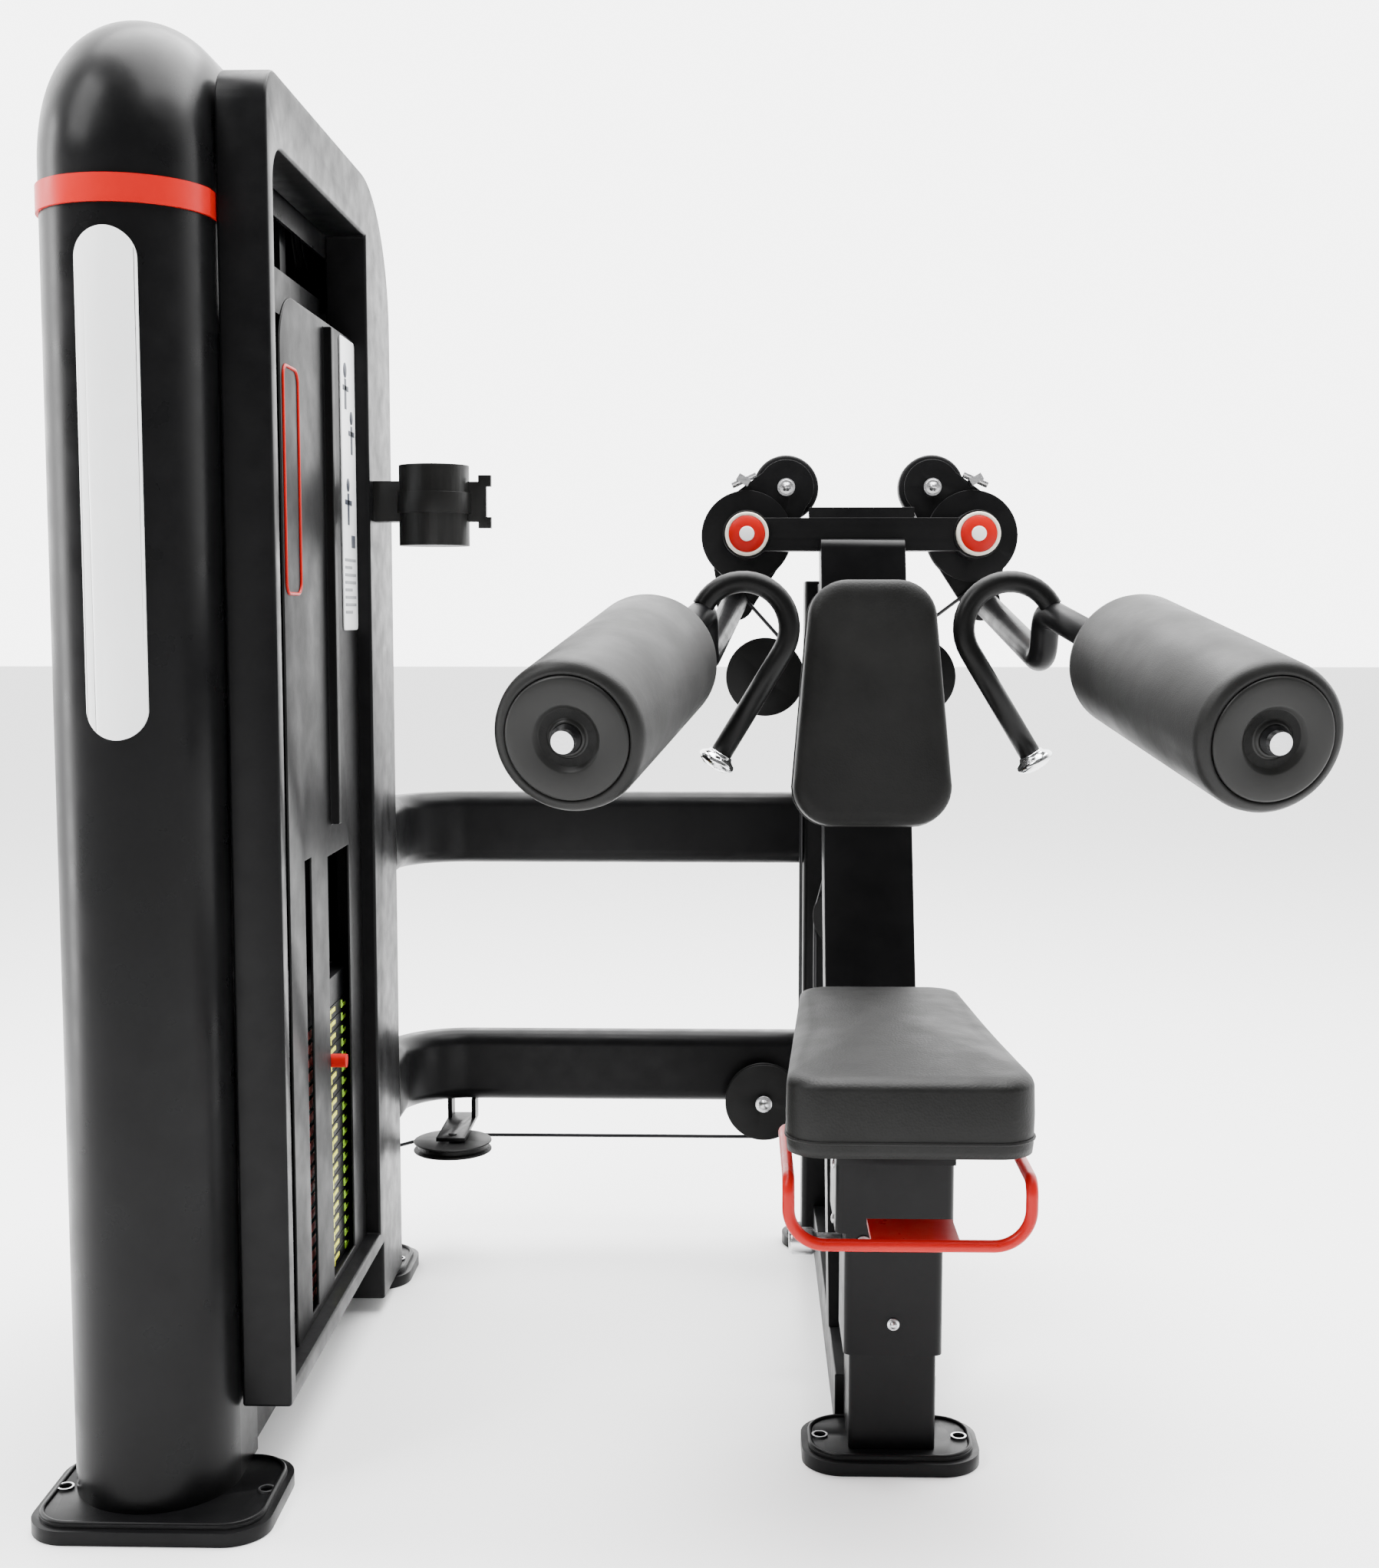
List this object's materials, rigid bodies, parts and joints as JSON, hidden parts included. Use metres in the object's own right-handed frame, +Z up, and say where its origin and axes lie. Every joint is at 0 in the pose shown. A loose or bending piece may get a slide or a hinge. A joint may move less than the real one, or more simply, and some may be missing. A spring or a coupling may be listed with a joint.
{
  "type": "lateral raise machine",
  "caption": "Pin-loaded lateral raise machine: rounded weight tower, two curved beams to a post with a seat, a chest pad and paired roller arms with bent handles",
  "frame": {"origin": "On the floor, in the middle plane of the seat, 0.404 m in front of the plane of the arm cams", "axes": "+X across the machine away from the weight tower, +Y from the user towards the arm pivots at the rear, +Z up"},
  "size_m": [1.2598, 1.0002, 1.49],
  "materials": {
    "frame_black": "satin powder coat",
    "shroud_black": "satin-gloss moulded shroud",
    "accent_red": "gloss",
    "lever_red": "gloss enamel",
    "panel_white": "translucent diffuser",
    "placard_grey": "printed film",
    "cover_black": "fine texture",
    "pad_charcoal": "soft matte vinyl",
    "roller_foam": "skinned foam",
    "cap_plastic": "smooth",
    "plate_iron": "painted",
    "label_yellow": "printed film",
    "steel_bright": "brushed",
    "chrome_bright": "polished",
    "pulley_black": "moulded nylon",
    "cable_black": "nylon sheath",
    "grip_black": "smooth grip sleeve"
  },
  "bodies": {
    "frame": {"tower_shrouds": "shroud_black", "top_arch": "shroud_black", "accent_rings": "accent_red", "light_panel": "panel_white", "frame_shell": "frame_black", "stack_cover": "cover_black", "placard": "placard_grey", "feet": "frame_black", "tower_chassis": "frame_black", "guide_rods": "chrome_bright", "upper_beam": "frame_black", "lower_beam": "frame_black", "rear_post": "frame_black", "spine_tube": "frame_black", "base_runner": "frame_black", "crossbar": "frame_black", "arm_axles": "steel_bright", "chest_pad": "pad_charcoal", "pad_bracket": "frame_black", "seat_post": "frame_black", "bottle_holder": "cap_plastic", "pulley_brackets": "frame_black", "cable_run": "cable_black", "foot_bolts": "steel_bright"},
    "weight_stack": {"weight_plates": "plate_iron", "selector_rod": "steel_bright", "plate_labels": "label_yellow"},
    "selector_pin": {"selector_pin": "accent_red"},
    "lift_cable": {"lift_cable": "cable_black"},
    "seat": {"seat_cushion": "pad_charcoal", "seat_carriage": "frame_black"},
    "seat_lever": {"seat_lever": "lever_red"},
    "seat_knob": {"seat_knob": "steel_bright"},
    "left_arm": {"left_cam_lever": "frame_black", "left_counterweight": "plate_iron", "left_hub_cap": "accent_red", "left_arm_tube": "frame_black", "left_handle": "grip_black", "left_handle_end": "chrome_bright", "left_arm_bolts": "steel_bright"},
    "left_roller": {"left_roller_pad": "roller_foam", "left_roller_core": "cap_plastic"},
    "right_arm": {"right_cam_lever": "frame_black", "right_counterweight": "plate_iron", "right_hub_cap": "accent_red", "right_arm_tube": "frame_black", "right_handle": "grip_black", "right_handle_end": "chrome_bright", "right_arm_bolts": "steel_bright"},
    "right_roller": {"right_roller_pad": "roller_foam", "right_roller_core": "cap_plastic"},
    "upper_left_pulley": {"upper_left_pulley": "pulley_black"},
    "upper_right_pulley": {"upper_right_pulley": "pulley_black"},
    "mid_pulley": {"mid_pulley": "pulley_black"},
    "lower_pulley": {"lower_pulley": "pulley_black"},
    "beam_pulley": {"beam_pulley": "pulley_black"},
    "base_pulley": {"base_pulley": "pulley_black"},
    "top_rear_pulley": {"top_rear_pulley": "pulley_black"},
    "top_front_pulley": {"top_front_pulley": "pulley_black"}
  },
  "joints": [
    {"name": "left_arm_pivot", "type": "hinge", "parent": "frame", "child": "left_arm", "pos_m": [-0.154, 0.404, 1.011], "axis": [0, 1, 0], "range_deg": [0, 60]},
    {"name": "right_arm_pivot", "type": "hinge", "parent": "frame", "child": "right_arm", "pos_m": [0.154, 0.404, 1.011], "axis": [0, -1, 0], "range_deg": [0, 60]},
    {"name": "left_roller_spin", "type": "hinge", "parent": "left_arm", "child": "left_roller", "pos_m": [-0.25674, -0.158, 0.85691], "axis": [-0.1978, -0.9599, -0.1988], "continuous": true},
    {"name": "right_roller_spin", "type": "hinge", "parent": "right_arm", "child": "right_roller", "pos_m": [0.25674, -0.158, 0.85691], "axis": [0.1978, -0.9599, -0.1988], "continuous": true},
    {"name": "stack_lift", "type": "slide", "parent": "frame", "child": "weight_stack", "axis": [0, 0, 1], "range_m": [0, 0.0625]},
    {"name": "pin_pull", "type": "slide", "parent": "weight_stack", "child": "selector_pin", "axis": [1, 0, 0], "range_m": [0, 0.03]},
    {"name": "cable_lift", "type": "slide", "parent": "frame", "child": "lift_cable", "axis": [0, 0, 1], "range_m": [0, 0.0625], "deforming": ["lift_cable"]},
    {"name": "seat_height", "type": "slide", "parent": "frame", "child": "seat", "axis": [0, 0, 1], "range_m": [-0.05, 0.1]},
    {"name": "seat_lever_lift", "type": "hinge", "parent": "seat", "child": "seat_lever", "pos_m": [0, -0.262, 0.366], "axis": [1, 0, 0], "range_deg": [-7, 0], "stiffness_Nm_per_rad": 2},
    {"name": "knob_pull", "type": "slide", "parent": "seat", "child": "seat_knob", "axis": [-1, 0, 0], "range_m": [0, 0.01], "stiffness_N_per_m": 800},
    {"name": "upper_left_pulley_spin", "type": "hinge", "parent": "frame", "child": "upper_left_pulley", "pos_m": [-0.128, 0.404, 0.818], "axis": [0, 1, 0], "continuous": true},
    {"name": "upper_right_pulley_spin", "type": "hinge", "parent": "frame", "child": "upper_right_pulley", "pos_m": [0.08, 0.404, 0.818], "axis": [0, -1, 0], "continuous": true},
    {"name": "mid_pulley_spin", "type": "hinge", "parent": "frame", "child": "mid_pulley", "pos_m": [-0.014, 0.404, 0.484], "axis": [0, -1, 0], "continuous": true},
    {"name": "lower_pulley_spin", "type": "hinge", "parent": "frame", "child": "lower_pulley", "pos_m": [-0.128, 0.404, 0.219], "axis": [0, 1, 0], "continuous": true},
    {"name": "beam_pulley_spin", "type": "hinge", "parent": "frame", "child": "beam_pulley", "pos_m": [-0.561, 0.3532, 0.1682], "axis": [0, 0, 1], "continuous": true},
    {"name": "base_pulley_spin", "type": "hinge", "parent": "frame", "child": "base_pulley", "pos_m": [-0.69407, 0.28133, 0.195], "axis": [-0.7431, 0.6691, 0], "continuous": true},
    {"name": "top_rear_pulley_spin", "type": "hinge", "parent": "frame", "child": "top_rear_pulley", "pos_m": [-0.712, 0.21062, 1.385], "axis": [-1, 0, 0], "continuous": true},
    {"name": "top_front_pulley_spin", "type": "hinge", "parent": "frame", "child": "top_front_pulley", "pos_m": [-0.712, 0.0208, 1.385], "axis": [-1, 0, 0], "continuous": true}
  ],
  "couplings": [
    {"joint": "right_arm_pivot", "follows": "left_arm_pivot", "ratio": 1},
    {"joint": "stack_lift", "follows": "left_arm_pivot", "m_per_rad": 0.0588},
    {"joint": "cable_lift", "follows": "left_arm_pivot", "m_per_rad": 0.0588},
    {"joint": "upper_left_pulley_spin", "follows": "left_arm_pivot", "ratio": 1.1575},
    {"joint": "upper_right_pulley_spin", "follows": "left_arm_pivot", "ratio": 1.1575},
    {"joint": "mid_pulley_spin", "follows": "left_arm_pivot", "ratio": 1.3738},
    {"joint": "lower_pulley_spin", "follows": "left_arm_pivot", "ratio": 1.1575},
    {"joint": "beam_pulley_spin", "follows": "left_arm_pivot", "ratio": 1.1575},
    {"joint": "base_pulley_spin", "follows": "left_arm_pivot", "ratio": 2.194},
    {"joint": "top_rear_pulley_spin", "follows": "left_arm_pivot", "ratio": 1.1575},
    {"joint": "top_front_pulley_spin", "follows": "left_arm_pivot", "ratio": 1.1575}
  ]
}
